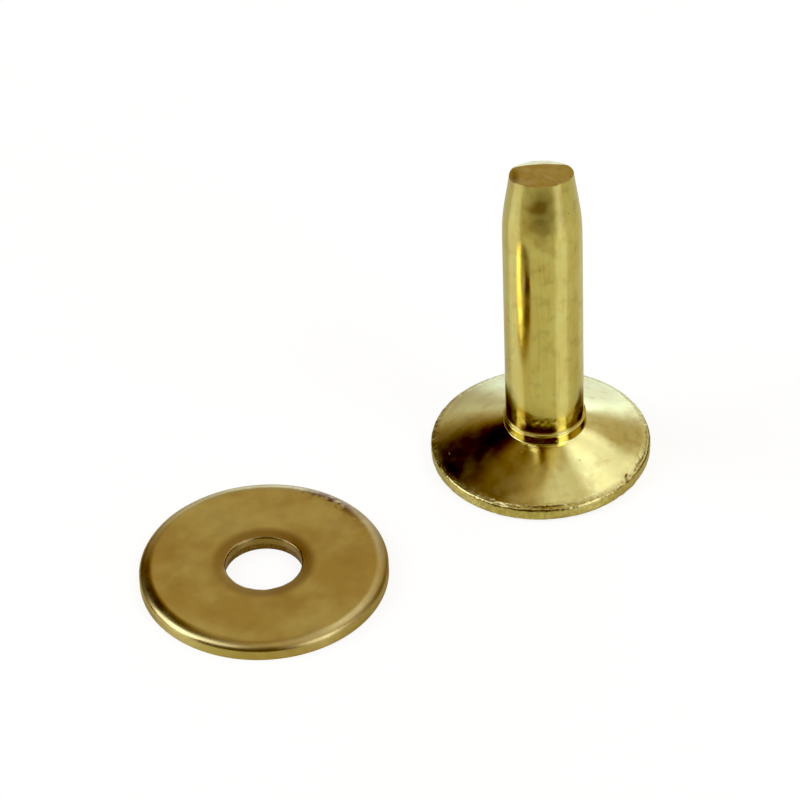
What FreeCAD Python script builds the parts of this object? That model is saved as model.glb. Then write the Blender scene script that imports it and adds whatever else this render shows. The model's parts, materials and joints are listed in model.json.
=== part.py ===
import FreeCAD, Part
import math
import os

import Sketcher

# A saddler's rivet and burr, number 9 gauge, in solid brass.
#
# The rivet is one cold-headed piece: a flat head with a conical underside, a small collar where
# the heading die closed, a round shank, and a tapered tip that was sheared off at a slant.
# The burr is the loose washer that is driven down the shank over the leather.
#
# The origin is the centre of the head's flat outer face, on the surface that the rivet stands on.
# +Z runs up the shank, and the burr lies flat beside the rivet, towards -X.

# The driving dimensions, in millimetres, and in degrees for the two shear angles.
SIZES = {
    # rivet head
    "head_diameter": 10.60,
    "head_edge_height": 0.68,       # where the cone would meet the head's outer edge
    "head_edge_round": 0.25,        # rounding of the head's edge, above and below
    "cone_height": 1.21,            # rise of the cone from the edge to the collar
    # collar between head and shank, which narrows very slightly upwards
    "collar_foot_diameter": 4.04,
    "collar_top_diameter": 4.00,
    "collar_top": 2.38,             # height of the collar's upper rim
    "root_round": 0.12,             # hollow rounding between cone and collar
    # shank and tip
    "shank_diameter": 3.76,
    "taper_start": 14.20,           # where the taper would leave the shank
    "taper_round": 4.00,            # soft shoulder between shank and taper
    "tip_diameter": 2.86,
    "rivet_length": 17.00,          # overall, up to the high side of the sheared end
    "shear_slant": 12.6,            # slope of the sheared end
    "shear_bearing": 58.4,          # the way the end slopes down, from +X towards +Y
    # burr
    "burr_diameter": 11.74,
    "burr_thickness": 0.80,
    "burr_hole_diameter": 3.60,
    "burr_edge_roll": 0.32,         # rounding that the blanking die left on the upper outer edge
    "burr_hole_roll": 0.14,         # the same at the hole's upper edge
    "burr_distance": 15.75,         # from the rivet's axis to the burr's
}

SHEAR_MARGIN = 2                    # how far the shearing cut passes beyond the tip


def make_sheet(document):
    """The spreadsheet named size: each row holds a name and a number with that name as alias."""
    sheet = document.addObject("Spreadsheet::Sheet", "size")
    for row, (alias, value) in enumerate(SIZES.items(), start=1):
        sheet.set(f"A{row}", alias)
        sheet.set(f"B{row}", str(value))
        sheet.setAlias(f"B{row}", alias)
    document.recompute()
    return sheet


def origin_plane(body, role):
    """One of the body's own three origin planes."""
    return next(plane for plane in body.Origin.OriginFeatures if plane.Role == role)


def upright_sketch(body, name):
    """An empty sketch on the body's XZ plane: across is +X and up is +Z."""
    sketch = body.newObject("Sketcher::SketchObject", name)
    sketch.AttachmentSupport = [(origin_plane(body, "XZ_Plane"), "")]
    sketch.MapMode = "FlatFace"
    return sketch


def draw_outline(sketch, corners):
    """A closed outline of straight lines. Each corner is an expression across and one up."""
    points = []
    for across, up in corners:
        place = [float(sketch.evalExpression(expression)) for expression in (across, up)]
        points.append(FreeCAD.Vector(*place, 0))
    ends = points[1:] + points[:1]
    sketch.addGeometry([Part.LineSegment(*line) for line in zip(points, ends)], False)
    for index, (across, up) in enumerate(corners):
        before = (index - 1) % len(corners)
        sketch.addConstraint(Sketcher.Constraint("Coincident", before, 2, index, 1))
        hold_corner(sketch, "DistanceX", index, points[index].x, f"across_{index}", across)
        hold_corner(sketch, "DistanceY", index, points[index].y, f"up_{index}", up)


def hold_corner(sketch, kind, index, place, name, expression):
    """Binds the distance from the sketch's origin to the start of one line to an expression."""
    number = sketch.addConstraint(Sketcher.Constraint(kind, -1, 1, index, 1, place))
    sketch.renameConstraint(number, name)
    sketch.setExpression(f"Constraints.{name}", expression)


def revolve(body, sketch, name):
    """The sketch turned once round the body's Z axis."""
    feature = body.newObject("PartDesign::Revolution", name)
    feature.Profile = sketch
    feature.ReferenceAxis = (sketch, ["V_Axis"])
    feature.Angle = 360
    return feature


def is_circle_at(edge, radius, height):
    """Whether the edge is a circle of that radius at that height."""
    if not isinstance(edge.Curve, Part.Circle):
        return False
    same_radius = math.isclose(edge.Curve.Radius, radius, abs_tol=1e-4)
    same_height = math.isclose(edge.Curve.Center.z, height, abs_tol=1e-4)
    return same_radius and same_height


def round_edges(base, name, radius_expression, circles):
    """A fillet on circular edges of base, each given by its diameter and its height."""
    base.Document.recompute()
    edges = [
        f"Edge{number}"
        for diameter, height in circles
        for number, edge in enumerate(base.Shape.Edges, start=1)
        if is_circle_at(edge, diameter / 2, height)
    ]
    if len(edges) != len(circles):
        raise RuntimeError(f"{name}: {len(edges)} edges found, and {len(circles)} expected")
    feature = base.getParentGeoFeatureGroup().newObject("PartDesign::Fillet", name)
    feature.Base = (base, edges)
    feature.setExpression("Radius", radius_expression)
    return feature


def make_rivet(document, size):
    """The cold-headed rivet, standing on its head."""
    body = document.addObject("PartDesign::Body", "rivet")
    body.Label = "rivet"

    profile = upright_sketch(body, "rivet_profile")
    collar_step = "(size.collar_top_diameter - size.shank_diameter) / 2"
    draw_outline(profile, [
        ("0", "0"),
        ("size.head_diameter / 2", "0"),
        ("size.head_diameter / 2", "size.head_edge_height"),
        ("size.collar_foot_diameter / 2", "size.head_edge_height + size.cone_height"),
        ("size.collar_top_diameter / 2", "size.collar_top"),
        ("size.shank_diameter / 2", f"size.collar_top + {collar_step}"),
        ("size.shank_diameter / 2", "size.taper_start"),
        ("size.tip_diameter / 2", "size.rivet_length"),
        ("0", "size.rivet_length"),
    ])
    blank = revolve(body, profile, "headed_blank")

    edge = round_edges(
        blank, "head_edge", "size.head_edge_round",
        [(size.head_diameter, 0), (size.head_diameter, size.head_edge_height)],
    )
    root = round_edges(
        edge, "root", "size.root_round",
        [(size.collar_foot_diameter, size.head_edge_height + size.cone_height)],
    )
    shoulder = round_edges(
        root, "taper_shoulder", "size.taper_round",
        [(size.shank_diameter, size.taper_start)],
    )
    shear_tip(body, shoulder)
    return body


def shear_tip(body, unsheared):
    """Cuts the tip along a plane that slopes down from the tip's high side."""
    plan = upright_sketch(body, "shear_plan")
    plan.AttachmentOffset = FreeCAD.Placement(
        FreeCAD.Vector(0, 0, 0), FreeCAD.Rotation(FreeCAD.Vector(0, 1, 0), 1)
    )
    plan.setExpression("AttachmentOffset.Rotation.Angle", "size.shear_bearing * 1 deg")
    high_side = "-size.tip_diameter / 2"
    beyond = f"(size.tip_diameter / 2 + {SHEAR_MARGIN})"
    fall = f"(size.tip_diameter / 2 + {beyond}) * tan(size.shear_slant * 1 deg)"
    draw_outline(plan, [
        (high_side, "size.rivet_length"),
        (beyond, f"size.rivet_length - {fall}"),
        (beyond, f"size.rivet_length + {SHEAR_MARGIN}"),
        (high_side, f"size.rivet_length + {SHEAR_MARGIN}"),
    ])

    cut = body.newObject("PartDesign::Pocket", "sheared_end")
    cut.Profile = plan
    cut.Type = "ThroughAll"
    cut.Midplane = True
    body.Document.recompute()
    if cut.Shape.Volume >= unsheared.Shape.Volume:
        raise RuntimeError("the shearing cut removed nothing")


def make_burr(document, size):
    """The loose washer, lying flat beside the rivet."""
    body = document.addObject("PartDesign::Body", "burr")
    body.Label = "burr"

    profile = upright_sketch(body, "burr_profile")
    draw_outline(profile, [
        ("size.burr_hole_diameter / 2", "0"),
        ("size.burr_diameter / 2", "0"),
        ("size.burr_diameter / 2", "size.burr_thickness"),
        ("size.burr_hole_diameter / 2", "size.burr_thickness"),
    ])
    blank = revolve(body, profile, "burr_blank")
    rolled = round_edges(
        blank, "outer_edge_roll", "size.burr_edge_roll",
        [(size.burr_diameter, size.burr_thickness)],
    )
    round_edges(
        rolled, "hole_edge_roll", "size.burr_hole_roll",
        [(size.burr_hole_diameter, size.burr_thickness)],
    )
    body.setExpression("Placement.Base.x", "-size.burr_distance")
    return body


def check(document, bodies):
    """Stops if any object failed to compute or any sub-part isn't one sound solid."""
    for item in document.Objects:
        if {"Invalid", "Error"} & set(item.State):
            raise RuntimeError(f"{item.Label} failed to compute: {item.State}")
    for body in bodies:
        if body.Shape.isNull() or not body.Shape.isValid():
            raise RuntimeError(f"{body.Label} has no valid shape")
        if len(body.Shape.Solids) != 1:
            raise RuntimeError(f"{body.Label} is {len(body.Shape.Solids)} solids, and not one")


def main():
    os.makedirs("parts", exist_ok=True)
    document = FreeCAD.newDocument("rivet_and_burr")
    size = make_sheet(document)
    bodies = [make_rivet(document, size), make_burr(document, size)]
    document.recompute()
    check(document, bodies)
    for body in bodies:
        body.Shape.exportStep(f"parts/{body.Label}.step")
        print(f"{body.Label}: {body.Shape.Volume:.2f} mm3")


main()
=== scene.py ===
"""Looks of a saddler's solid brass rivet and its loose burr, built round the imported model.

A piece is shaped in millimetres and becomes metres when its mesh is made. Directions are given as
the viewer sees them: azimuth 0 points at the camera, 90 to its right and 180 away from it.
"""

import json
import math

import bpy
import numpy as np
from mathutils import Matrix, Vector, noise


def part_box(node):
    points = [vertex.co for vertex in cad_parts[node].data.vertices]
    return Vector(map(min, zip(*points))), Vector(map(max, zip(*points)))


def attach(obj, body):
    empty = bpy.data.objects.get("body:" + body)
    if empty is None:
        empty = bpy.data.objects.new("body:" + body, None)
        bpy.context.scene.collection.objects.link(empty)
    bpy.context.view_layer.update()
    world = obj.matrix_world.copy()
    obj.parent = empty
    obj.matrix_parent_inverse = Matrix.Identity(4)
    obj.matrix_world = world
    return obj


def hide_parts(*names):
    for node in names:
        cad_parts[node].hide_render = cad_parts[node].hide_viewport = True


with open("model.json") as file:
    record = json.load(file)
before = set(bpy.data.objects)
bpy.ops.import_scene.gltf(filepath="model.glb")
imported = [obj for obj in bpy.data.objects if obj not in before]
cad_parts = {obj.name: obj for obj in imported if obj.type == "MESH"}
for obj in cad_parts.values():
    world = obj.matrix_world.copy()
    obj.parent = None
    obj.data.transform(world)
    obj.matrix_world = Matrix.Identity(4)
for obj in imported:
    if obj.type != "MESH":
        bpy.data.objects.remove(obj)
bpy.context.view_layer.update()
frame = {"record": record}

MM = 0.001


# ---------------------------------------------------------------- sizes from the frame

def mount(name):
    """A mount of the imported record, by name."""
    return next(m for m in frame["record"]["mounts"] if m["name"] == name)


rivet_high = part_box("rivet")[1] / MM
burr_low, burr_high = (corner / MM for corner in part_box("burr"))
shank = mount("shank")

HEAD_RADIUS = rivet_high.x
RIVET_LENGTH = rivet_high.z
SHANK_RADIUS = shank["dims"]["r_mm"]
SHANK_FOOT = shank["pos_m"][2] / MM - shank["dims"]["length_mm"] / 2
SHANK_END = SHANK_FOOT + shank["dims"]["length_mm"]
BURR_RADIUS = (burr_high.x - burr_low.x) / 2
BURR_THICKNESS = burr_high.z
BURR_HOLE_RADIUS = mount("burr_bore")["dims"]["r_mm"]
BURR_CENTRE = np.array([(burr_low.x + burr_high.x) / 2, 0, 0])

CAMERA_AZIMUTH = -31.64             # of the camera round the object, in degrees, 0 looking along +Y
CAMERA_ELEVATION = 39.8
CAMERA_ROLL = -2.34
CAMERA_DISTANCE = 210.2
AIM_HEIGHT = 6.91
CAMERA_AIM = Vector((BURR_CENTRE[0] / 2, 0, AIM_HEIGHT))   # midway between the two axes
CAMERA_LENS = 202.5
SENSOR_WIDTH = 36


def toward(azimuth, elevation):
    """The direction seen at that azimuth from the camera's own, and at that elevation."""
    turn = math.radians(CAMERA_AZIMUTH)
    to_camera = np.array([math.sin(turn), -math.cos(turn), 0])
    to_right = np.array([math.cos(turn), math.sin(turn), 0])
    azimuth, elevation = math.radians(azimuth), math.radians(elevation)
    level = to_camera * math.cos(azimuth) + to_right * math.sin(azimuth)
    return level * math.cos(elevation) + np.array([0, 0, math.sin(elevation)])


# ---------------------------------------------------------------- shaping helpers

def straight(start, end, steps):
    """Points of an outline from start up to, and without, end."""
    share = np.arange(steps) / steps
    return np.outer(1 - share, start) + np.outer(share, end)


def arc(centre, radii, first, last, steps):
    """Points of an outline on an ellipse's arc between two angles, without the last point."""
    angle = np.radians(first + (last - first) * np.arange(steps) / steps)
    across = centre[0] + radii[0] * np.cos(angle)
    up = centre[1] + radii[1] * np.sin(angle)
    return np.column_stack([across, up])


def smooth(low, high, value):
    """0 below low and 1 above high, with a soft step between them."""
    share = np.clip((value - low) / (high - low), 0, 1)
    return share * share * (3 - 2 * share)


def bump(value, centre, width):
    """1 at the centre, falling softly to 0 a few widths away."""
    return np.exp(-(((value - centre) / width) ** 2))


LEVEL = (1, 1, 0)                   # points times this lose their height, and so does their noise
SEED_STEP = np.array([17.3, 5.7, 11.1])   # how far apart in the noise two seeds lie
NOISE_GAIN = 2                      # the plain noise seldom passes a half


def relief(points, size, seed, depth=1):
    """Smooth noise from about -depth to depth at each point, with features of that size."""
    flat = points.reshape(-1, 3) / size + seed * SEED_STEP
    values = np.array([noise.noise(Vector(point)) for point in flat])
    return values.reshape(points.shape[:-1]) * NOISE_GAIN * depth


def turn_outline(outline, columns):
    """The outline turned round Z: an array of rows, columns and x, y, z."""
    angle = np.linspace(0, 2 * math.pi, columns, endpoint=False)
    across, up = outline[:, :1], outline[:, 1:]
    level = np.ones(columns)
    return np.dstack([across * np.cos(angle), across * np.sin(angle), up * level])


def outward_of(skin, closed):
    """Unit normals of a turned skin, pointing out of the metal."""
    if closed:
        along = np.roll(skin, -1, 0) - np.roll(skin, 1, 0)
    else:
        along = np.gradient(skin, axis=0)
    sideways = np.roll(skin, -1, 1) - np.roll(skin, 1, 1)
    normal = np.cross(sideways, along)
    length = np.linalg.norm(normal, axis=2, keepdims=True)
    return normal / np.maximum(length, 1e-9)


def bearing_of(skin):
    """The azimuth, in degrees, at which the viewer sees each point from the piece's axis."""
    front, right = toward(0, 0), toward(90, 0)
    return np.degrees(np.arctan2(skin @ right, skin @ front))


def around(bearing, centre, width):
    """1 at that bearing, falling softly to 0 a few widths away on either side."""
    apart = (bearing - centre + 180) % 360 - 180
    return np.exp(-((apart / width) ** 2))


def between(bearing, first, last):
    """1 from the first bearing to the last, with soft ends."""
    soft = 5
    begun = smooth(first - soft, first + soft, bearing)
    ended = smooth(last - soft, last + soft, bearing)
    return begun * (1 - ended)


def skin_to_mesh(name, skin, closed, sharp_row=None):
    """A piece of quads between rings of points, with a crisp edge along sharp_row.

    A closed skin joins its last ring to its first. An open one ends in a pole at either end.
    """
    rows, columns, _ = skin.shape
    number = np.arange(rows * columns).reshape(rows, columns)
    following = np.roll(number, -1, 1)
    upper = np.roll(number, -1, 0) if closed else number[1:]
    upper_following = np.roll(upper, -1, 1)
    count = rows if closed else rows - 1
    quads = np.stack([number[:count], following[:count], upper_following, upper], 2)
    points = skin.reshape(-1, 3)
    faces = quads.reshape(-1, 4).tolist()
    if not closed:
        poles = np.array([skin[0].mean(0), skin[-1].mean(0)])
        points = np.vstack([points, poles])
        bottom, top = rows * columns, rows * columns + 1
        faces += [(bottom, b, a) for a, b in zip(number[0], following[0])]
        faces += [(top, a, b) for a, b in zip(number[-1], following[-1])]
    mesh = bpy.data.meshes.new(name)
    mesh.from_pydata((points * MM).tolist(), [], faces)
    mesh.polygons.foreach_set("use_smooth", [True] * len(mesh.polygons))
    mesh.update()
    if sharp_row is not None:
        row_of = np.array([edge.vertices for edge in mesh.edges]) // columns
        sharp = (row_of == sharp_row).all(1)
        mesh.attributes.new("sharp_edge", "BOOLEAN", "EDGE").data.foreach_set("value", sharp)
    piece = bpy.data.objects.new(name, mesh)
    bpy.context.scene.collection.objects.link(piece)
    return piece


def paint(piece, name, values):
    """Stores one number for each point of the skin, for the piece's material to read."""
    numbers = np.zeros(len(piece.data.vertices), np.float32)
    numbers[:values.size] = values.ravel()
    poles = len(numbers) - values.size
    if poles:
        numbers[-2:] = values[0].mean(), values[-1].mean()
    attribute = piece.data.attributes.new(name, "FLOAT", "POINT")
    attribute.data.foreach_set("value", numbers)


# ---------------------------------------------------------------- rivet

UNDER_HEAD = 0.3                    # radius of the innermost ring of points under the head
RIM_ROUND = 0.25                    # rounding of the rim's lower edge
RIM_TOP = 0.55                      # where the rim starts to turn over into the lip
LIP_RADIUS = HEAD_RADIUS - 0.12     # crest of the thin lip that the heading die squeezed out
LIP_HEIGHT = 0.71
CONE_FOOT = (HEAD_RADIUS - 0.24, 0.765)   # radius and height where the cone begins
CONE_HOLLOW = 0.13                  # how much steeper the cone is at its foot than on average
COLLAR_FOOT = (SHANK_RADIUS + 0.135, SHANK_FOOT - 0.615)   # and where it meets the collar
COLLAR_ROOT = (0.05, 0.07)          # how far the collar's foot is rounded, across and upwards
RING = (SHANK_RADIUS + 0.105, SHANK_FOOT - 0.11)   # fine raised ring on top of the collar
RING_ROUND = 0.03
COLLAR_RADIUS = RING[0] - 0.02
TAPER_FALL = 0.40                   # how much the tip's radius is less than the shank's
TAPER_START = SHANK_END + 0.15
TAPER_SOFT = 0.10                   # softness of the taper's shoulder, as a share of its length
SHOULDER_START = TAPER_START - 1.2  # below this the shoulder's soft start can't be seen
TIP_FLARE = 0.03                    # metal that the shears squeezed out at the tip
FLARE_REACH = 0.5                   # how far down the tip that goes
HEAD_OFFSET = 0.225                 # how far the shank stands to the right of the head's middle
CONE_LEAN = (0.8, 2.0)              # heights between which the cone leans over by that much
RIVET_COLUMNS = 280


def rivet_outline():
    """Half section of the rivet from its head's middle to the top of its taper."""
    edge, wall = HEAD_RADIUS - RIM_ROUND, COLLAR_RADIUS
    root = COLLAR_FOOT[1] + COLLAR_ROOT[1]
    crest = (RING[0] - RING_ROUND, RING[1])
    step = (SHANK_RADIUS + 0.03, RING[1] + 0.02)
    shank_start = (SHANK_RADIUS, SHANK_FOOT + 0.05)
    return np.vstack([
        straight((UNDER_HEAD, 0), (edge, 0), 14),
        arc((edge, RIM_ROUND), (RIM_ROUND, RIM_ROUND), -90, 0, 9),
        straight((HEAD_RADIUS, RIM_ROUND), (HEAD_RADIUS, RIM_TOP), 6),
        arc((LIP_RADIUS, RIM_TOP), (HEAD_RADIUS - LIP_RADIUS, LIP_HEIGHT - RIM_TOP), 0, 90, 10),
        straight((LIP_RADIUS, LIP_HEIGHT), CONE_FOOT, 8),
        cone_outline(56),
        arc((wall + COLLAR_ROOT[0], root), COLLAR_ROOT, 255, 180, 8),
        straight((wall, root), (wall, RING[1] - RING_ROUND), 12),
        arc(crest, (RING_ROUND, RING_ROUND), -50, 90, 7),
        straight((crest[0], crest[1] + RING_ROUND), step, 3),
        straight(step, shank_start, 4),
        straight(shank_start, (SHANK_RADIUS, SHOULDER_START), 98),
        taper_outline(62),
    ])


def cone_outline(steps):
    """The cone, slightly hollow: steeper at its foot than at the collar."""
    share = np.arange(steps) / steps
    across = CONE_FOOT[0] + (COLLAR_FOOT[0] - CONE_FOOT[0]) * share
    rise = share + CONE_HOLLOW * share * (1 - share)
    return np.column_stack([across, CONE_FOOT[1] + (COLLAR_FOOT[1] - CONE_FOOT[1]) * rise])


def taper_outline(steps):
    """The taper, which leaves the shank softly and flares a little where it was sheared."""
    height = np.linspace(SHOULDER_START, RIVET_LENGTH, steps)
    share = (height - TAPER_START) / (RIVET_LENGTH - TAPER_START)
    fall = TAPER_FALL * TAPER_SOFT * np.log1p(np.exp(share / TAPER_SOFT))
    flare = TIP_FLARE * np.exp((height - RIVET_LENGTH) / FLARE_REACH)
    return np.column_stack([SHANK_RADIUS - fall + flare, height])


SHEAR_SLANT = 12.6                  # slope of the sheared end, in degrees
ROLLED_FROM = 1.06                  # how far behind the axis the sheared end turns smooth
ROLLED_CURVE = 0.15                 # how much that line curves forward at its sides
ROLLED_SLOPE = 0.10                 # how much more the end slopes behind that line
# Marks on the sheared end: (middle, width) to the right, then (middle, width) away from the viewer.
BRUISE = ((-1.36, 0.22), (-0.2, 0.65))
BRUISE_DEPTH = 0.14
BRUISE_STAIN = 0.4                  # how dark it is
TAG = ((0.72, 0.16), (-1.28, 0.12))
TAG_HEIGHT = 0.05                   # metal that the shears pulled up at the front
EDGE_RING = 0.992                   # first ring, close to the edge so that the edge looks sharp
INNER_RINGS = np.linspace(0.97, 0.03, 29)   # the others, as shares of the edge's own radius


def mark_on(points, aside, away):
    """1 in the middle of a mark on the sheared end, falling softly to 0 round it."""
    return bump(points @ toward(90, 0), *aside) * bump(points @ toward(180, 0), *away)


def rolled_line(points):
    """How far behind the axis the sheared end turns smooth: less at its sides than in its middle."""
    return ROLLED_FROM - ROLLED_CURVE * (points @ toward(90, 0)) ** 2


def end_face_height(points):
    """Height of the sheared end at each point: high towards the camera, rolled over behind."""
    away = points @ toward(180, 0)
    tip_radius = SHANK_RADIUS - TAPER_FALL
    plane = RIVET_LENGTH - (away + tip_radius) * math.tan(math.radians(SHEAR_SLANT))
    rolled = ROLLED_SLOPE * np.maximum(away - rolled_line(points), 0)
    bruise = BRUISE_DEPTH * mark_on(points, *BRUISE)
    return plane - rolled - bruise + TAG_HEIGHT * mark_on(points, *TAG)


def shear_top(skin):
    """Squeezes the rows above the taper's start so that the last one ends on the sheared face."""
    top = end_face_height(skin[-1])
    share = np.clip((skin[..., 2] - TAPER_START) / (RIVET_LENGTH - TAPER_START), 0, 1)
    skin[..., 2] -= share ** 2 * (RIVET_LENGTH - top)


def end_face(edge):
    """Rings of the sheared end, from just inside its edge to near its middle, with a torn grain."""
    shares = np.append(EDGE_RING, INNER_RINGS)
    rings = edge[None] * shares[:, None, None]
    tears = relief(rings * LEVEL, size=0.5, seed=4, depth=0.005)
    rings[..., 2] = end_face_height(rings) + tears
    return rings


HAMMERED_IN = (0.42, 0.16)          # how far inside the head's edge hammering starts and is full
HAMMERED_TOP = (0.80, 0.95)         # heights between which it ends, at the foot of the cone
HAMMERED_FOOT = 0.12                # height by which it is full above the head's flat face
WORN_LEAST = 0.35                   # how much of it is left where it is weakest
NICK_DEPTH = 0.035
NICK_LEVEL = 0.2                    # only noise above this makes a nick
LIP = (LIP_RADIUS, 0.08)            # middle and width of the uneven lip,
LIP_RISE = (RIM_TOP, 0.68)          # and heights between which it begins
PINCH_DEPTH = 0.045                 # depth of the groove inside the lip, at the front
PINCH = (HEAD_RADIUS - 0.19, 0.05)  # its middle and width,
PINCH_RISE = (0.60, 0.70)           # heights between which it begins,
PINCH_BEARING = (2, 16)             # and where it is, with its width in degrees


def hammer_rim(skin, outward, height, radius):
    """Small flats and nicks round the head's edge, and a lip of uneven height."""
    on_rim = smooth(HEAD_RADIUS - HAMMERED_IN[0], HEAD_RADIUS - HAMMERED_IN[1], radius)
    on_rim *= 1 - smooth(*HAMMERED_TOP, height)
    on_rim *= smooth(0, HAMMERED_FOOT, height)
    patchy = smooth(-0.3, 0.5, relief(skin * LEVEL, size=2.6, seed=6))
    worn = WORN_LEAST + (1 - WORN_LEAST) * patchy
    flats = relief(skin * (1, 1, 0.7), size=0.45, seed=7, depth=0.018)
    nicks = -NICK_DEPTH * np.maximum(relief(skin, size=0.16, seed=8) - NICK_LEVEL, 0)
    skin += outward * (on_rim * worn * (flats + nicks))[..., None]

    on_lip = bump(radius, *LIP) * smooth(*LIP_RISE, height)
    uneven = relief(skin * LEVEL, size=1.4, seed=9, depth=0.014)
    uneven += relief(skin * LEVEL, size=0.3, seed=10, depth=0.010) * worn
    pinched = bump(radius, *PINCH) * around(bearing_of(skin), *PINCH_BEARING)
    skin[..., 2] += on_lip * uneven - PINCH_DEPTH * pinched * smooth(*PINCH_RISE, height)
    return on_rim


SHANK_WAVES = (SHANK_FOOT, SHANK_FOOT + 0.4)   # heights between which the shank's waves begin
CONE_WAVES = (0.85, 1.0)            # heights between which the cone's waves begin,
CONE_WAVES_END = (2.3, 2.6)         # and radii between which they end, near the collar
SCALY = (SHANK_FOOT + 0.70, 0.20)   # middle and width of a scaly band round the shank's foot


def wear_body(skin, outward, height, radius):
    """Shallow waves and dents that a headed and tumbled rivet has on its cone and its shank."""
    on_shank = smooth(*SHANK_WAVES, height)
    on_cone = smooth(*CONE_WAVES, height) * smooth(*CONE_WAVES_END, radius)
    long_waves = relief(skin * (1, 1, 0.22), size=1.3, seed=11, depth=0.008)
    cone_waves = relief(skin, size=2.0, seed=12, depth=0.007)
    scaly = bump(height, *SCALY) * (radius < SHANK_RADIUS + 0.1)
    scales = relief(skin * (1, 1, 1.6), size=0.20, seed=13, depth=0.008) * scaly
    amount = on_shank * long_waves + on_cone * cone_waves + scales
    skin += outward * amount[..., None]


# Painted dark reflection on the taper's front: (middle, width) below the tip, then (middle, width)
# of the bearing.
FRONT_REFLECTION = ((1.40, 1.10), (-10, 30))
UPPER_MARK = ((1.05, 0.60), (-7, 24))
LOWER_MARK = ((2.15, 0.62), (-8, 24))
HAZE_END = (1.4, 2.7)               # how far below the tip the haze begins to fade, and ends
HAZE_BROWN = 0.14                   # how brown the haze is all round,
FRONT_REFLECTION_BROWN = 0.20             # how much browner in front, as painted dark reflection,
UPPER_BROWN = 0.42                  # and how much browner in two patches of painted dark reflection
LOWER_BROWN = 0.30
UPPER_EDGE = (0.25, 0.85)           # how ragged each mark's edge is: between these it fades in
LOWER_EDGE = (0.25, 0.80)


def front_patch(below_tip, bearing, depth, direction):
    """1 in the middle of a patch on the taper's front, falling softly to 0 round it."""
    return bump(below_tip, *depth) * around(bearing, *direction)


def tip_haze_and_painted_reflection(bearing, height, ragged):
    """How brown the end is: a haze all round, and painted dark reflection on its front, broad and in
    two patches.
    """
    below_tip = RIVET_LENGTH - height
    upper = front_patch(below_tip, bearing, *UPPER_MARK) + ragged
    lower = front_patch(below_tip, bearing, *LOWER_MARK) + ragged
    brown = HAZE_BROWN * (1 - smooth(*HAZE_END, below_tip))
    brown += FRONT_REFLECTION_BROWN * front_patch(below_tip, bearing, *FRONT_REFLECTION)
    brown += UPPER_BROWN * smooth(*UPPER_EDGE, upper)
    brown += LOWER_BROWN * smooth(*LOWER_EDGE, lower)
    return brown


# Painted dark reflection of the cone round the shank's foot, in three patches: how dark each is,
# heights above the foot between which it ends, and bearings.
FRONT_DARK = 0.92
FRONT_TOP = (0.30, 0.55)
FRONT_RAGGED = 0.6                  # its edge is less ragged than the others'
FRONT_BEARINGS = (-41, 12)
RIGHT_DARK = 0.78
RIGHT_TOP = (0.4, 1.9)              # this patch gets taller towards the right,
RIGHT_RISE = (30, 66)               # between these bearings
RIGHT_BEARINGS = (36, 68)
LEFT_DARK = 0.60
LEFT_TOP = (1.3, 2.5)
LEFT_BEARING = (-66, 13)            # its middle and width
FOOT_PATCH_SOFTNESS = 0.2                  # how softly the right one ends, upwards
RING_EDGE = 0.05                    # how softly all of it begins at the ring


def foot_dark_reflection(bearing, height, ragged):
    """How dark the shank's foot is painted: a dark reflection of the cone, painted beside the ring.
    """
    above_foot = height - SHANK_FOOT
    front = 1 - smooth(*FRONT_TOP, above_foot + FRONT_RAGGED * ragged)
    right_top = RIGHT_TOP[0] + (RIGHT_TOP[1] - RIGHT_TOP[0]) * smooth(*RIGHT_RISE, bearing)
    right = 1 - smooth(-FOOT_PATCH_SOFTNESS, FOOT_PATCH_SOFTNESS, above_foot - right_top + ragged)
    left = 1 - smooth(*LEFT_TOP, above_foot + ragged)
    dark = FRONT_DARK * front * between(bearing, *FRONT_BEARINGS)
    dark += RIGHT_DARK * right * between(bearing, *RIGHT_BEARINGS)
    dark += LEFT_DARK * left * around(bearing, *LEFT_BEARING)
    return dark * smooth(-RING_EDGE, RING_EDGE, above_foot)


PRESSED_HEIGHT = (3.2, 4.2)         # where the polish that the heading die left ends: up the shank,
PRESSED_RADIUS = (2.6, 3.4)         # and down the cone
DRAWN_FROM = (SHANK_FOOT - 0.05, SHANK_FOOT + 0.1)   # heights where rings give way to drawing lines
TORN_EDGE = 0.05                    # how softly the torn face turns smooth


def make_rivet():
    """The headed rivet: hammered rim, cone, collar, shank, taper and sheared end in one skin."""
    skin = turn_outline(rivet_outline(), RIVET_COLUMNS)
    height, radius = skin[..., 2].copy(), np.hypot(skin[..., 0], skin[..., 1])
    outward = outward_of(skin, closed=False)
    on_rim = hammer_rim(skin, outward, height, radius)
    wear_body(skin, outward, height, radius)
    shear_top(skin)
    end = end_face(skin[-1])
    offset = toward(90, 0) * HEAD_OFFSET
    moved = skin + offset * smooth(*CONE_LEAN, height)[..., None]
    whole = np.vstack([moved, end + offset])
    piece = skin_to_mesh("rivet_body", whole, closed=False, sharp_row=len(skin) - 1)

    bearing = bearing_of(skin)
    ragged = relief(skin, size=0.45, seed=14, depth=0.22)
    nothing = np.zeros(end.shape[:2])
    on_side = {
        "hammered": on_rim,
        "drawn": smooth(*DRAWN_FROM, height),
        "pressed": (1 - smooth(*PRESSED_HEIGHT, height)) * (1 - smooth(*PRESSED_RADIUS, radius)),
        "sheared": np.zeros(on_rim.shape),
        # painted dark reflection on the taper's front, and a brown haze round the tip
        "smudged": tip_haze_and_painted_reflection(bearing, height, ragged),
        # painted dark reflection of the cone round the shank's foot
        "stained": foot_dark_reflection(bearing, height, ragged),
    }
    behind_line = end @ toward(180, 0) - rolled_line(end)
    on_end = {
        "sheared": 1 - smooth(-TORN_EDGE, TORN_EDGE, behind_line),
        "stained": BRUISE_STAIN * mark_on(end, *BRUISE),
    }
    for name, values in on_side.items():
        paint(piece, name, np.vstack([values, on_end.get(name, nothing)]))
    return piece


# ---------------------------------------------------------------- burr

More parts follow.
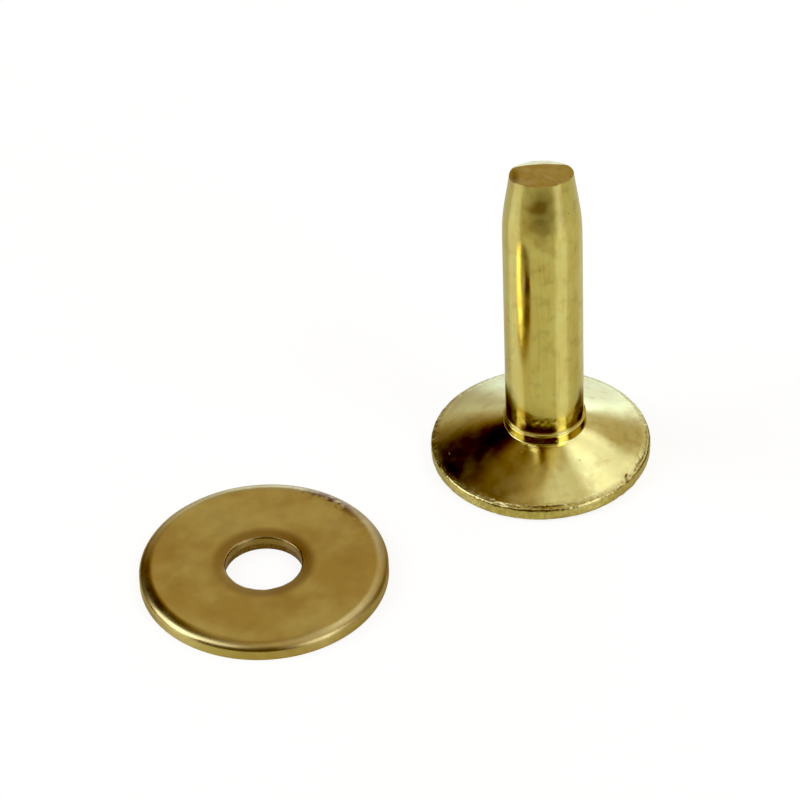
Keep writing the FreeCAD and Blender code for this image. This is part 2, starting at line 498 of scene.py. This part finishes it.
EDGE_ROLL = (0.70, 0.34)            # how far the blanked edge rolls over, inwards and downwards
FOOT_ROUND = 0.04                   # rounding of the lower outer edge
HOLE_ROUND = 0.10                   # rounding of the hole's upper edge
HOLE_DISH = (0.66, 0.042)           # how far the metal sinks round the punched hole
DISH_POWER = 1.5                    # above 1, the sinking is steepest at the hole
FRACTURE_SHARE = 0.45               # lower share of the hole's wall that tore instead of shearing
FRACTURE_STEP = (0.05, 0.06)        # how much wider the torn part is, and how tall the step to it is
BURR_COLUMNS = 400


def burr_outline():
    """Closed half section of the burr, anticlockwise from its hole's lower edge."""
    inner, outer, top = BURR_HOLE_RADIUS, BURR_RADIUS, BURR_THICKNESS
    foot = outer - FOOT_ROUND
    roll_height = top - EDGE_ROLL[1]
    flat_start, flat_end = outer - EDGE_ROLL[0], inner + HOLE_DISH[0]
    mouth = (inner + HOLE_ROUND, top - HOLE_DISH[1] - HOLE_ROUND)
    break_top = (inner, FRACTURE_SHARE * top)
    break_foot = (inner + FRACTURE_STEP[0], break_top[1] - FRACTURE_STEP[1])
    return np.vstack([
        straight((break_foot[0], 0), (foot, 0), 16),
        arc((foot, FOOT_ROUND), (FOOT_ROUND, FOOT_ROUND), -90, 0, 4),
        straight((outer, FOOT_ROUND), (outer, roll_height), 9),
        arc((flat_start, roll_height), EDGE_ROLL, 0, 90, 24),
        straight((flat_start, top), (flat_end, top), 50),
        dish_outline(flat_end, mouth[0], top, 16),
        arc(mouth, (HOLE_ROUND, HOLE_ROUND), 90, 180, 7),
        straight((inner, mouth[1]), break_top, 6),
        straight(break_top, break_foot, 3),
        straight(break_foot, (break_foot[0], 0), 7),
    ])


def dish_outline(start, end, top, steps):
    """The top face sinking softly from start towards the hole's edge at end."""
    across = np.linspace(start, end, steps, endpoint=False)
    share = (start - across) / (start - end)
    return np.column_stack([across, top - HOLE_DISH[1] * share ** DISH_POWER])


LOWER_FACE = (0.02, 0.2)            # heights between which waves begin: the lower face is flat
HOLE_WALL = (0.06, 0.12)            # distances from the hole between which its wall ends,
DISHED = (0.35, 0.85)               # and between which the painted shade in the sunken ring round it ends
LESS_DISH_SHADE = 0.35                       # how much less of that painted shade there is at the front left,
LESS_DISH_SHADE_BEARING = (-50, 75)          # and where, with its width in degrees
TORN_LEAST = 0.8                    # how dark the hole's sheared part is, where its torn part is 1
EDGE_FULL = BURR_RADIUS - 0.2       # where the painted shade on the rolled edge is as brown as it gets
EDGE_PALEST = 0.5                   # how brown that painted shade is where it is palest,
EDGE_BROWNEST = (105, 70)           # and the bearing where it is 1, with its width in degrees
STAIN_RADIUS = (BURR_RADIUS - 0.52, 0.32)   # middle and width of the stain near the edge,
STAIN_BEARING = (142, 19)           # which lies behind and to the right,
STAIN_HEIGHT = (0.3, 0.6)           # and heights between which it begins


def make_burr():
    """The punched washer with its rolled outer edge, sunken hole and half-torn hole wall."""
    skin = turn_outline(burr_outline(), BURR_COLUMNS)
    height, radius = skin[..., 2].copy(), np.hypot(skin[..., 0], skin[..., 1])
    outward = outward_of(skin, closed=True)
    beyond_hole = radius - BURR_HOLE_RADIUS
    in_hole = 1 - smooth(*HOLE_WALL, beyond_hole)
    torn = in_hole * (1 - smooth(FRACTURE_SHARE - 0.1, FRACTURE_SHARE, height / BURR_THICKNESS))
    waves = relief(skin, size=2.4, seed=21, depth=0.005)
    waves += relief(skin, size=0.8, seed=22, depth=0.0008)
    tears = relief(skin, size=0.14, seed=23, depth=0.03) * torn
    ragged = relief(skin * LEVEL, size=0.35, seed=24, depth=0.006) * in_hole
    skin += outward * (smooth(*LOWER_FACE, height) * (waves + tears + ragged))[..., None]
    piece = skin_to_mesh("burr_washer", skin + BURR_CENTRE, closed=True)

    bearing = bearing_of(skin)
    dished = (1 - smooth(*DISHED, beyond_hole)) * (1 - in_hole)
    less_shade = LESS_DISH_SHADE * around(bearing, *LESS_DISH_SHADE_BEARING)
    on_edge = smooth(BURR_RADIUS - EDGE_ROLL[0], EDGE_FULL, radius)
    browner = EDGE_PALEST + (1 - EDGE_PALEST) * around(bearing, *EDGE_BROWNEST)
    stained = bump(radius, *STAIN_RADIUS) * around(bearing, *STAIN_BEARING)
    # painted shade in the sunken ring round the hole, less at the front left
    paint(piece, "dished", dished * (1 - less_shade))
    paint(piece, "torn", TORN_LEAST * in_hole + (1 - TORN_LEAST) * torn)
    paint(piece, "stained", stained * smooth(*STAIN_HEIGHT, height))
    # painted shade on the rolled edge, strongest on the right
    paint(piece, "edged", browner * on_edge)
    return piece


# ---------------------------------------------------------------- materials

class Nodes:
    """A node tree that grows by one node for each call."""

    def __init__(self, owner):
        owner.use_nodes = True
        self.tree = owner.node_tree
        self.tree.nodes.clear()

    def add(self, kind, inputs=None, output=0, **settings):
        """Adds a node. An input is a number, a colour or another node's output."""
        node = self.tree.nodes.new("ShaderNode" + kind)
        for name, value in settings.items():
            setattr(node, name, value)
        for name, value in (inputs or {}).items():
            if isinstance(value, bpy.types.NodeSocket):
                self.tree.links.new(value, node.inputs[name])
            else:
                node.inputs[name].default_value = value
        return node.outputs[output] if len(node.outputs) else None

    def maths(self, operation, first, second=0.0):
        """One Math node."""
        return self.add("Math", {0: first, 1: second}, operation=operation)

    def ease(self, value, low, high, bottom=0.0, top=1.0):
        """bottom below low, top above high and a soft step between them."""
        inputs = {"Value": value, "From Min": low, "From Max": high, "To Min": bottom, "To Max": top}
        return self.add("MapRange", inputs, interpolation_type="SMOOTHSTEP")

    def more(self, value, where, by):
        """The value, raised by that much where the map is 1."""
        return self.maths("ADD", value, self.maths("MULTIPLY", where, by))

    def blend(self, share, first, second):
        """A mix of two colours."""
        inputs = {"Factor": share, 6: first, 7: second}
        return self.add("Mix", inputs, output=2, data_type="RGBA")

    def cover(self, tint, other, where, share):
        """The tint, with that share of another colour where the map is 1."""
        return self.blend(self.maths("MULTIPLY", where, share), tint, other)

    def grain(self, vector, scale, detail=2.0):
        """Noise from 0 to 1, with scale features to a millimetre."""
        return self.add("TexNoise", {"Vector": vector, "Scale": scale, "Detail": detail})

    def stretch(self, vector, x, y, z):
        """The vector with each axis scaled."""
        return self.add("VectorMath", {0: vector, 1: (x, y, z)}, operation="MULTIPLY")

    def painted(self, name):
        """A number that paint() stored on the mesh."""
        return self.add("Attribute", output="Fac", attribute_name=name)

    def place(self):
        """The point on the piece, in millimetres."""
        point = self.add("TexCoord", output="Object")
        return self.stretch(point, 1 / MM, 1 / MM, 1 / MM)


def colour(red, green, blue):
    """An opaque colour, linear."""
    return (red, green, blue, 1.0)


BRASS_BRIGHT = colour(0.90, 0.80, 0.25)
BRASS_WARM = colour(0.86, 0.71, 0.20)
BRASS_BROWN = colour(0.42, 0.26, 0.07)
BRASS_OLIVE = colour(0.66, 0.53, 0.16)
BRASS_SHEARED = colour(0.58, 0.36, 0.02)
BRASS_TORN = colour(0.44, 0.24, 0.01)
BRASS_TIP_DARK = colour(0.26, 0.10, 0.01)
BRASS_DARK_BROWN = colour(0.16, 0.05, 0.02)
BURR_OLIVE = colour(0.96, 0.81, 0.26)
BURR_GOLD = colour(0.79, 0.58, 0.155)

# Depths of the relief that is too fine for the mesh, in millimetres.
PIT_DEPTH = 0.008
LINE_DEPTH = 0.0018                 # drawing lines on the shank and turning lines on the cone
RIVET_SKIN_DEPTH = 0.0012
HAMMERED_DEPTH = 0.028
TORN_DEPTH = 0.009
BURR_SKIN_DEPTH = 0.0025


def pits(nodes, place, scale, size, share):
    """1 in small round pits, which only that share of the cells has."""
    cells = {"Vector": place, "Scale": scale, "Randomness": 1.0}
    near = nodes.ease(nodes.add("TexVoronoi", cells), size * 0.5, size, 1.0, 0.0)
    shade = nodes.add("TexVoronoi", cells, output="Color")
    chosen = nodes.add("SeparateColor", {"Color": shade}, output=0)
    return nodes.maths("MULTIPLY", near, nodes.maths("LESS_THAN", chosen, share))


def worked_lines(nodes, place, drawn):
    """Fine lines from 0 to 1: upright where the metal was drawn, and level rings elsewhere."""
    level = nodes.stretch(place, *LEVEL)
    radius = nodes.add("VectorMath", {0: level}, output="Value", operation="LENGTH")
    upward = nodes.add("SeparateXYZ", {"Vector": place}, output="Z")
    rings = nodes.add("CombineXYZ", {"X": radius, "Y": upward, "Z": nodes.grain(place, scale=0.4)})
    turned = nodes.grain(rings, scale=9.0, detail=4.0)
    upright = nodes.grain(nodes.stretch(place, 1, 1, 0.05), scale=9.0, detail=4.0)
    return nodes.blend(drawn, turned, upright)


def finish_brass(nodes, tint, gloss, height):
    """The metal itself, with its relief in millimetres."""
    relief_normal = nodes.add("Bump", {"Strength": 1.0, "Distance": MM, "Height": height})
    shader = nodes.add("BsdfPrincipled", {
        "Base Color": tint, "Metallic": 1.0, "Roughness": gloss, "Normal": relief_normal,
    })
    nodes.add("OutputMaterial", {"Surface": shader})


def rivet_brass():
    """Bright brass, drawn along the shank, turned round the cone, torn brown at the end."""
    material = bpy.data.materials.new("rivet_brass")
    nodes = Nodes(material)
    place = nodes.place()
    hammered, drawn, pressed = (nodes.painted(name) for name in ("hammered", "drawn", "pressed"))
    sheared, smudged, stained = (nodes.painted(name) for name in ("sheared", "smudged", "stained"))

    lines = worked_lines(nodes, place, drawn)
    cloud = nodes.ease(nodes.grain(place, scale=0.55, detail=4.0), 0.35, 0.65)
    streaks = nodes.ease(lines, 0.50, 0.75, 0.0, 0.22)
    tarnish = nodes.ease(nodes.grain(place, scale=1.5, detail=6.0), 0.50, 0.70, 0.0, 0.5)
    speck = pits(nodes, place, scale=2.0, size=0.09, share=0.30)
    blotch = nodes.ease(nodes.grain(place, scale=4.0, detail=4.0), 0.38, 0.60, 0.25, 0.9)
    torn_grain = nodes.grain(nodes.stretch(place, 1.6, 0.5, 1), scale=3.5, detail=5.0)
    torn_share = nodes.ease(torn_grain, 0.35, 0.70, 0.0, 0.5)

    tint = nodes.blend(cloud, BRASS_BRIGHT, BRASS_WARM)
    tint = nodes.cover(tint, BRASS_BROWN, where=drawn, share=streaks)
    tint = nodes.cover(tint, BRASS_BROWN, where=tarnish, share=0.5)
    tint = nodes.cover(tint, BRASS_BROWN, where=speck, share=0.7)
    # olive blotches on the hammered rim: partly the metal's own speckle, partly painted shade where
    # the rim reflects the shadowed floor beside it
    tint = nodes.cover(tint, BRASS_OLIVE, where=hammered, share=blotch)
    tint = nodes.blend(sheared, tint, nodes.blend(torn_share, BRASS_SHEARED, BRASS_TORN))
    # painted dark reflection on the taper's front, and a brown haze round the tip
    tint = nodes.blend(smudged, tint, BRASS_TIP_DARK)
    # painted dark reflection at the shank's foot, and the stain in the bruise
    tint = nodes.blend(stained, tint, BRASS_DARK_BROWN)

    gloss = nodes.ease(nodes.grain(place, scale=1.3, detail=5.0), 0.3, 0.7, 0.12, 0.22)
    gloss = nodes.more(gloss, pressed, by=-0.07)
    gloss = nodes.more(gloss, hammered, by=0.08)
    gloss = nodes.more(gloss, sheared, by=0.40)

    smooth_metal = nodes.maths("SUBTRACT", 1.0, sheared)
    height = nodes.maths("MULTIPLY", lines, nodes.maths("MULTIPLY", smooth_metal, LINE_DEPTH))
    height = nodes.more(height, nodes.grain(place, scale=14.0, detail=3.0), by=RIVET_SKIN_DEPTH)
    hammering = nodes.maths("MULTIPLY", nodes.grain(place, scale=5.0, detail=3.0), hammered)
    height = nodes.more(height, hammering, by=HAMMERED_DEPTH)
    height = nodes.more(height, nodes.maths("MULTIPLY", torn_grain, sheared), by=TORN_DEPTH)
    height = nodes.more(height, speck, by=-PIT_DEPTH)
    finish_brass(nodes, tint, gloss, height)
    return material


def burr_brass():
    """Satin brass, tumbled and tarnished, with painted shade round the sunken hole and on the rolled
    edge, and a stain near one edge.
    """
    material = bpy.data.materials.new("burr_brass")
    nodes = Nodes(material)
    place = nodes.place()
    dished, torn = nodes.painted("dished"), nodes.painted("torn")
    stained, edged = nodes.painted("stained"), nodes.painted("edged")

    cloud = nodes.ease(nodes.grain(place, scale=0.36, detail=3.0), 0.35, 0.65)
    mottle = nodes.grain(place, scale=0.8, detail=5.0)
    speck = pits(nodes, place, scale=1.8, size=0.06, share=0.20)
    spots = nodes.ease(nodes.grain(place, scale=3.2, detail=5.0), 0.40, 0.56, 0.25, 1.0)

    tint = nodes.blend(cloud, BURR_OLIVE, BURR_GOLD)
    tint = nodes.blend(nodes.ease(mottle, 0.42, 0.70, 0.0, 0.20), tint, BRASS_BROWN)
    # painted shade round the sunken hole
    tint = nodes.cover(tint, BRASS_BROWN, where=dished, share=0.82)
    # painted shade on the rolled edge, strongest on the right
    tint = nodes.cover(tint, BRASS_BROWN, where=edged, share=0.70)
    tint = nodes.cover(tint, BRASS_DARK_BROWN, where=torn, share=0.76)
    tint = nodes.cover(tint, BRASS_BROWN, where=speck, share=0.6)
    tint = nodes.cover(tint, BRASS_DARK_BROWN, where=stained, share=spots)

    gloss = nodes.ease(mottle, 0.3, 0.7, 0.10, 0.17)
    gloss = nodes.more(gloss, edged, by=0.32)
    gloss = nodes.more(gloss, torn, by=0.20)

    skin = nodes.grain(place, scale=11.0, detail=4.0)
    height = nodes.maths("MULTIPLY", skin, BURR_SKIN_DEPTH)
    height = nodes.more(height, speck, by=-PIT_DEPTH)
    finish_brass(nodes, tint, gloss, height)
    return material


# ---------------------------------------------------------------- studio

# Soft lights, by where they stand (azimuth, elevation), how wide they are (degrees to where they
# begin to fade and to where they end) and how much brightness they add.
SOFT_LIGHTS = [
    (-90, 34, 19, 21, 2.0),         # large light on the left
    (-68, 62, 8, 18, 1.2),          # its top
    (-74, 8, 9, 19, 0.8),           # its foot, near the horizon
    (52, 37, 12, 18, 2.0),          # light on the right
    (45, 10, 9, 18, 1.4),           # its foot
    (84, 16, 12, 26, 0.35),         # its glow on the wall beside it
    (80, 66, 12, 30, 0.5),          # its glow overhead
    (131, 54, 9, 18, 0.80),         # light behind to the right
    (148, 28, 10, 26, 0.28),        # its glow lower down
    (168, 5, 12, 24, 0.82),         # pale wall low behind, its brighter end
    (-166, 10, 6, 18, 0.28),        # its dimmer end
    (180, 40, 16, 42, 0.29),        # the same wall higher up
    (180, 86, 5, 16, 0.28),         # pale ceiling right overhead
]
DARK_SIDE = (-141, 42, 8, 24, 0.96)   # unlit part of the room; the last number is how much it takes
ROOM_LOW, ROOM_HIGH = 0.04, 0.09    # brightness of the rest of the room, near the floor and overhead
ROOM_RISE = (0.1, 0.8)              # between these it rises from one to the other: 1 is overhead
DIMMEST = 0.001                     # light that is dimmer than this gets no browner
GREEN_SHARE = (1.10, 0.30)          # green against red in full light, and the power it falls by
BLUE_SHARE = (1.70, 0.95)           # the same for blue: the room is brown where it is dim
COOL_WALL = (176, 6, 14, 34, 0.60)  # where the light is bluer still
COOL_GREEN = 0.25                   # green that it adds, against blue


def lobe(nodes, direction, azimuth, elevation, inner, outer, strength):
    """strength within inner degrees of that direction, fading to 0 at outer degrees."""
    facing = nodes.add("VectorMath", {0: direction, 1: toward(azimuth, elevation)},
                       output="Value", operation="DOT_PRODUCT")
    edge, core = math.cos(math.radians(outer)), math.cos(math.radians(inner))
    return nodes.ease(facing, edge, core, 0.0, strength)


def make_room():
    """The soft light all round, and plain white where the camera looks past the floor."""
    world = bpy.data.worlds.new("studio")
    bpy.context.scene.world = world
    nodes = Nodes(world)
    direction = nodes.add("TexCoord", output="Generated")
    upward = nodes.add("SeparateXYZ", {"Vector": direction}, output="Z")
    light = nodes.ease(upward, *ROOM_RISE, ROOM_LOW, ROOM_HIGH)
    for soft_light in SOFT_LIGHTS:
        light = nodes.maths("ADD", light, lobe(nodes, direction, *soft_light))
    unlit = nodes.maths("SUBTRACT", 1.0, lobe(nodes, direction, *DARK_SIDE))
    light = nodes.maths("MULTIPLY", light, unlit)
    share = nodes.add("Clamp", {"Value": light, "Min": DIMMEST, "Max": 1.0})
    green, blue = (
        nodes.maths("MULTIPLY", full, nodes.maths("POWER", share, power))
        for full, power in (GREEN_SHARE, BLUE_SHARE)
    )
    cool = lobe(nodes, direction, *COOL_WALL)
    green = nodes.more(green, cool, by=COOL_GREEN)
    blue = nodes.maths("ADD", blue, cool)
    tint = nodes.add("CombineColor", {"Red": 1.0, "Green": green, "Blue": blue})
    glow = nodes.add("VectorMath", {0: tint, "Scale": light}, operation="SCALE")
    to_camera = nodes.add("LightPath", output="Is Camera Ray")
    seen = nodes.blend(to_camera, glow, colour(1, 1, 1))
    nodes.add("OutputWorld", {"Surface": nodes.add("Background", {"Color": seen})})


PAPER = colour(0.80, 0.78, 0.50)
PAPER_SHADE_AHEAD = colour(0.03, 0.02, 0.01)
PAPER_SEEN = colour(0.30, 0.29, 0.20)
PAPER_END = (18, 66)                # how far ahead of the rivet the bright paper fades into painted shade
FLOOR_REACH = 3.0                   # half the floor's side, in metres


def make_floor():
    """A plain floor: near white to the camera; to the brass, pale paper that fades into painted
    shade ahead, glowing a little as painted light.
    """
    reach = FLOOR_REACH
    mesh = bpy.data.meshes.new("floor")
    corners = [(-reach, -reach, 0), (reach, -reach, 0), (reach, reach, 0), (-reach, reach, 0)]
    mesh.from_pydata(corners, [], [(0, 1, 2, 3)])
    floor = bpy.data.objects.new("floor", mesh)
    bpy.context.scene.collection.objects.link(floor)

    material = bpy.data.materials.new("floor_paper")
    nodes = Nodes(material)
    ahead = nodes.add("VectorMath", {0: nodes.place(), 1: toward(0, 0)},
                      output="Value", operation="DOT_PRODUCT")
    # ahead of the rivet the paper fades into painted shade
    tint = nodes.blend(nodes.ease(ahead, *PAPER_END), PAPER, PAPER_SHADE_AHEAD)
    # the paper also glows a little for the brass: painted light
    mirrored = nodes.add("BsdfPrincipled", {
        "Base Color": tint, "Roughness": 0.12, "Specular IOR Level": 0.8,
        "Emission Color": tint, "Emission Strength": 0.12,
    })
    pale = nodes.add("BsdfDiffuse", {"Color": PAPER_SEEN})
    lift = nodes.add("Emission", {"Strength": 0.84})
    seen = nodes.add("AddShader", {0: pale, 1: lift})
    to_camera = nodes.add("LightPath", output="Is Camera Ray")
    surface = nodes.add("MixShader", {0: to_camera, 1: mirrored, 2: seen})
    nodes.add("OutputMaterial", {"Surface": surface})
    mesh.materials.append(material)


def make_camera():
    """The camera, which looks down past both pieces from the left front."""
    azimuth, elevation = math.radians(CAMERA_AZIMUTH), math.radians(CAMERA_ELEVATION)
    level = math.cos(elevation)
    back = Vector((math.sin(azimuth) * level, -math.cos(azimuth) * level, math.sin(elevation)))
    right = Vector((math.cos(azimuth), math.sin(azimuth), 0))
    turn = Matrix.Rotation(math.radians(CAMERA_ROLL), 3, back)
    right = turn @ right
    up = back.cross(right)
    data = bpy.data.cameras.new("camera")
    data.lens = CAMERA_LENS
    data.sensor_width = SENSOR_WIDTH
    data.clip_start = 0.01
    camera = bpy.data.objects.new("camera", data)
    camera.matrix_world = Matrix.Translation((CAMERA_AIM + back * CAMERA_DISTANCE) * MM) @ (
        Matrix((right, up, back)).transposed().to_4x4()
    )
    bpy.context.scene.collection.objects.link(camera)
    bpy.context.scene.camera = camera


BLACK_LEVEL = 0.012                 # anything dimmer than this is shown black


def develop():
    """Plain display colours, with blacks as deep as in a product photograph."""
    settings = bpy.context.scene.view_settings
    settings.view_transform = "Standard"
    settings.use_curve_mapping = True
    settings.curve_mapping.black_level = [BLACK_LEVEL] * 3
    settings.curve_mapping.update()


# ---------------------------------------------------------------- assembly

rivet = make_rivet()
rivet.data.materials.append(rivet_brass())
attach(rivet, "rivet")
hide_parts("rivet")

burr = make_burr()
burr.data.materials.append(burr_brass())
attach(burr, "burr")
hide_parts("burr")

make_room()
make_floor()
make_camera()
develop()
